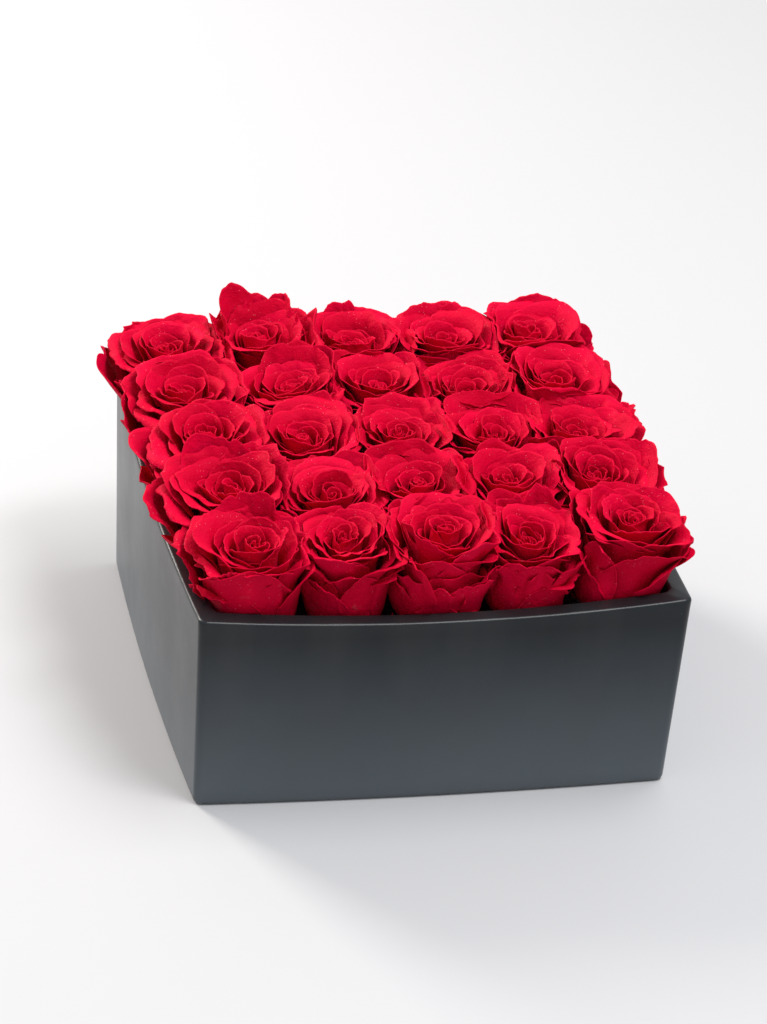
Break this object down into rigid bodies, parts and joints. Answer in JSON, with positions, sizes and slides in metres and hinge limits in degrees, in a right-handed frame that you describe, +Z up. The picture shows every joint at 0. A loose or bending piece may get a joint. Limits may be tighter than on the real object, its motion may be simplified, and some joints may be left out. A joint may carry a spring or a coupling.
{
  "type": "flower box",
  "caption": "Square matte ceramic flower box packed with a grid of preserved roses on short stems in dry floral foam.",
  "frame": {"origin": "middle of the surface that the box stands on", "axes": "+Z up; the front face, which the picture shows, faces -Y; +X is to the right seen from the front"},
  "size_m": [0.284, 0.284, 0.1754],
  "materials": {
    "glaze": "satin",
    "foam": "matte",
    "petals": "matte",
    "stems": "matte"
  },
  "bodies": {
    "box": {"ceramic_box": "glaze"},
    "foam": {"foam_brick_left": "foam", "foam_strip_middle": "foam", "foam_brick_right": "foam"},
    "rose_r1c1": {"rose_bloom_r1c1": "petals", "rose_stem_r1c1": "stems"},
    "rose_r1c2": {"rose_bloom_r1c2": "petals", "rose_stem_r1c2": "stems"},
    "rose_r1c3": {"rose_bloom_r1c3": "petals", "rose_stem_r1c3": "stems"},
    "rose_r1c4": {"rose_bloom_r1c4": "petals", "rose_stem_r1c4": "stems"},
    "rose_r1c5": {"rose_bloom_r1c5": "petals", "rose_stem_r1c5": "stems"},
    "rose_r2c1": {"rose_bloom_r2c1": "petals", "rose_stem_r2c1": "stems"},
    "rose_r2c2": {"rose_bloom_r2c2": "petals", "rose_stem_r2c2": "stems"},
    "rose_r2c3": {"rose_bloom_r2c3": "petals", "rose_stem_r2c3": "stems"},
    "rose_r2c4": {"rose_bloom_r2c4": "petals", "rose_stem_r2c4": "stems"},
    "rose_r2c5": {"rose_bloom_r2c5": "petals", "rose_stem_r2c5": "stems"},
    "rose_r3c1": {"rose_bloom_r3c1": "petals", "rose_stem_r3c1": "stems"},
    "rose_r3c2": {"rose_bloom_r3c2": "petals", "rose_stem_r3c2": "stems"},
    "rose_r3c3": {"rose_bloom_r3c3": "petals", "rose_stem_r3c3": "stems"},
    "rose_r3c4": {"rose_bloom_r3c4": "petals", "rose_stem_r3c4": "stems"},
    "rose_r3c5": {"rose_bloom_r3c5": "petals", "rose_stem_r3c5": "stems"},
    "rose_r4c1": {"rose_bloom_r4c1": "petals", "rose_stem_r4c1": "stems"},
    "rose_r4c2": {"rose_bloom_r4c2": "petals", "rose_stem_r4c2": "stems"},
    "rose_r4c3": {"rose_bloom_r4c3": "petals", "rose_stem_r4c3": "stems"},
    "rose_r4c4": {"rose_bloom_r4c4": "petals", "rose_stem_r4c4": "stems"},
    "rose_r4c5": {"rose_bloom_r4c5": "petals", "rose_stem_r4c5": "stems"},
    "rose_r5c1": {"rose_bloom_r5c1": "petals", "rose_stem_r5c1": "stems"},
    "rose_r5c2": {"rose_bloom_r5c2": "petals", "rose_stem_r5c2": "stems"},
    "rose_r5c3": {"rose_bloom_r5c3": "petals", "rose_stem_r5c3": "stems"},
    "rose_r5c4": {"rose_bloom_r5c4": "petals", "rose_stem_r5c4": "stems"},
    "rose_r5c5": {"rose_bloom_r5c5": "petals", "rose_stem_r5c5": "stems"}
  },
  "joints": [
    {"name": "arrangement_lift", "type": "slide", "parent": "box", "child": "foam", "axis": [0, 0, 1], "range_m": [0, 0.12]},
    {"name": "rose_pull_r1c1", "type": "slide", "parent": "foam", "child": "rose_r1c1", "axis": [0, 0, 1], "range_m": [0, 0.135]},
    {"name": "rose_pull_r1c2", "type": "slide", "parent": "foam", "child": "rose_r1c2", "axis": [0, 0, 1], "range_m": [0, 0.135]},
    {"name": "rose_pull_r1c3", "type": "slide", "parent": "foam", "child": "rose_r1c3", "axis": [0, 0, 1], "range_m": [0, 0.135]},
    {"name": "rose_pull_r1c4", "type": "slide", "parent": "foam", "child": "rose_r1c4", "axis": [0, 0, 1], "range_m": [0, 0.135]},
    {"name": "rose_pull_r1c5", "type": "slide", "parent": "foam", "child": "rose_r1c5", "axis": [0, 0, 1], "range_m": [0, 0.135]},
    {"name": "rose_pull_r2c1", "type": "slide", "parent": "foam", "child": "rose_r2c1", "axis": [0, 0, 1], "range_m": [0, 0.135]},
    {"name": "rose_pull_r2c2", "type": "slide", "parent": "foam", "child": "rose_r2c2", "axis": [0, 0, 1], "range_m": [0, 0.135]},
    {"name": "rose_pull_r2c3", "type": "slide", "parent": "foam", "child": "rose_r2c3", "axis": [0, 0, 1], "range_m": [0, 0.135]},
    {"name": "rose_pull_r2c4", "type": "slide", "parent": "foam", "child": "rose_r2c4", "axis": [0, 0, 1], "range_m": [0, 0.135]},
    {"name": "rose_pull_r2c5", "type": "slide", "parent": "foam", "child": "rose_r2c5", "axis": [0, 0, 1], "range_m": [0, 0.135]},
    {"name": "rose_pull_r3c1", "type": "slide", "parent": "foam", "child": "rose_r3c1", "axis": [0, 0, 1], "range_m": [0, 0.135]},
    {"name": "rose_pull_r3c2", "type": "slide", "parent": "foam", "child": "rose_r3c2", "axis": [0, 0, 1], "range_m": [0, 0.135]},
    {"name": "rose_pull_r3c3", "type": "slide", "parent": "foam", "child": "rose_r3c3", "axis": [0, 0, 1], "range_m": [0, 0.135]},
    {"name": "rose_pull_r3c4", "type": "slide", "parent": "foam", "child": "rose_r3c4", "axis": [0, 0, 1], "range_m": [0, 0.135]},
    {"name": "rose_pull_r3c5", "type": "slide", "parent": "foam", "child": "rose_r3c5", "axis": [0, 0, 1], "range_m": [0, 0.135]},
    {"name": "rose_pull_r4c1", "type": "slide", "parent": "foam", "child": "rose_r4c1", "axis": [0, 0, 1], "range_m": [0, 0.135]},
    {"name": "rose_pull_r4c2", "type": "slide", "parent": "foam", "child": "rose_r4c2", "axis": [0, 0, 1], "range_m": [0, 0.135]},
    {"name": "rose_pull_r4c3", "type": "slide", "parent": "foam", "child": "rose_r4c3", "axis": [0, 0, 1], "range_m": [0, 0.135]},
    {"name": "rose_pull_r4c4", "type": "slide", "parent": "foam", "child": "rose_r4c4", "axis": [0, 0, 1], "range_m": [0, 0.135]},
    {"name": "rose_pull_r4c5", "type": "slide", "parent": "foam", "child": "rose_r4c5", "axis": [0, 0, 1], "range_m": [0, 0.135]},
    {"name": "rose_pull_r5c1", "type": "slide", "parent": "foam", "child": "rose_r5c1", "axis": [0, 0, 1], "range_m": [0, 0.135]},
    {"name": "rose_pull_r5c2", "type": "slide", "parent": "foam", "child": "rose_r5c2", "axis": [0, 0, 1], "range_m": [0, 0.135]},
    {"name": "rose_pull_r5c3", "type": "slide", "parent": "foam", "child": "rose_r5c3", "axis": [0, 0, 1], "range_m": [0, 0.135]},
    {"name": "rose_pull_r5c4", "type": "slide", "parent": "foam", "child": "rose_r5c4", "axis": [0, 0, 1], "range_m": [0, 0.135]},
    {"name": "rose_pull_r5c5", "type": "slide", "parent": "foam", "child": "rose_r5c5", "axis": [0, 0, 1], "range_m": [0, 0.135]}
  ]
}
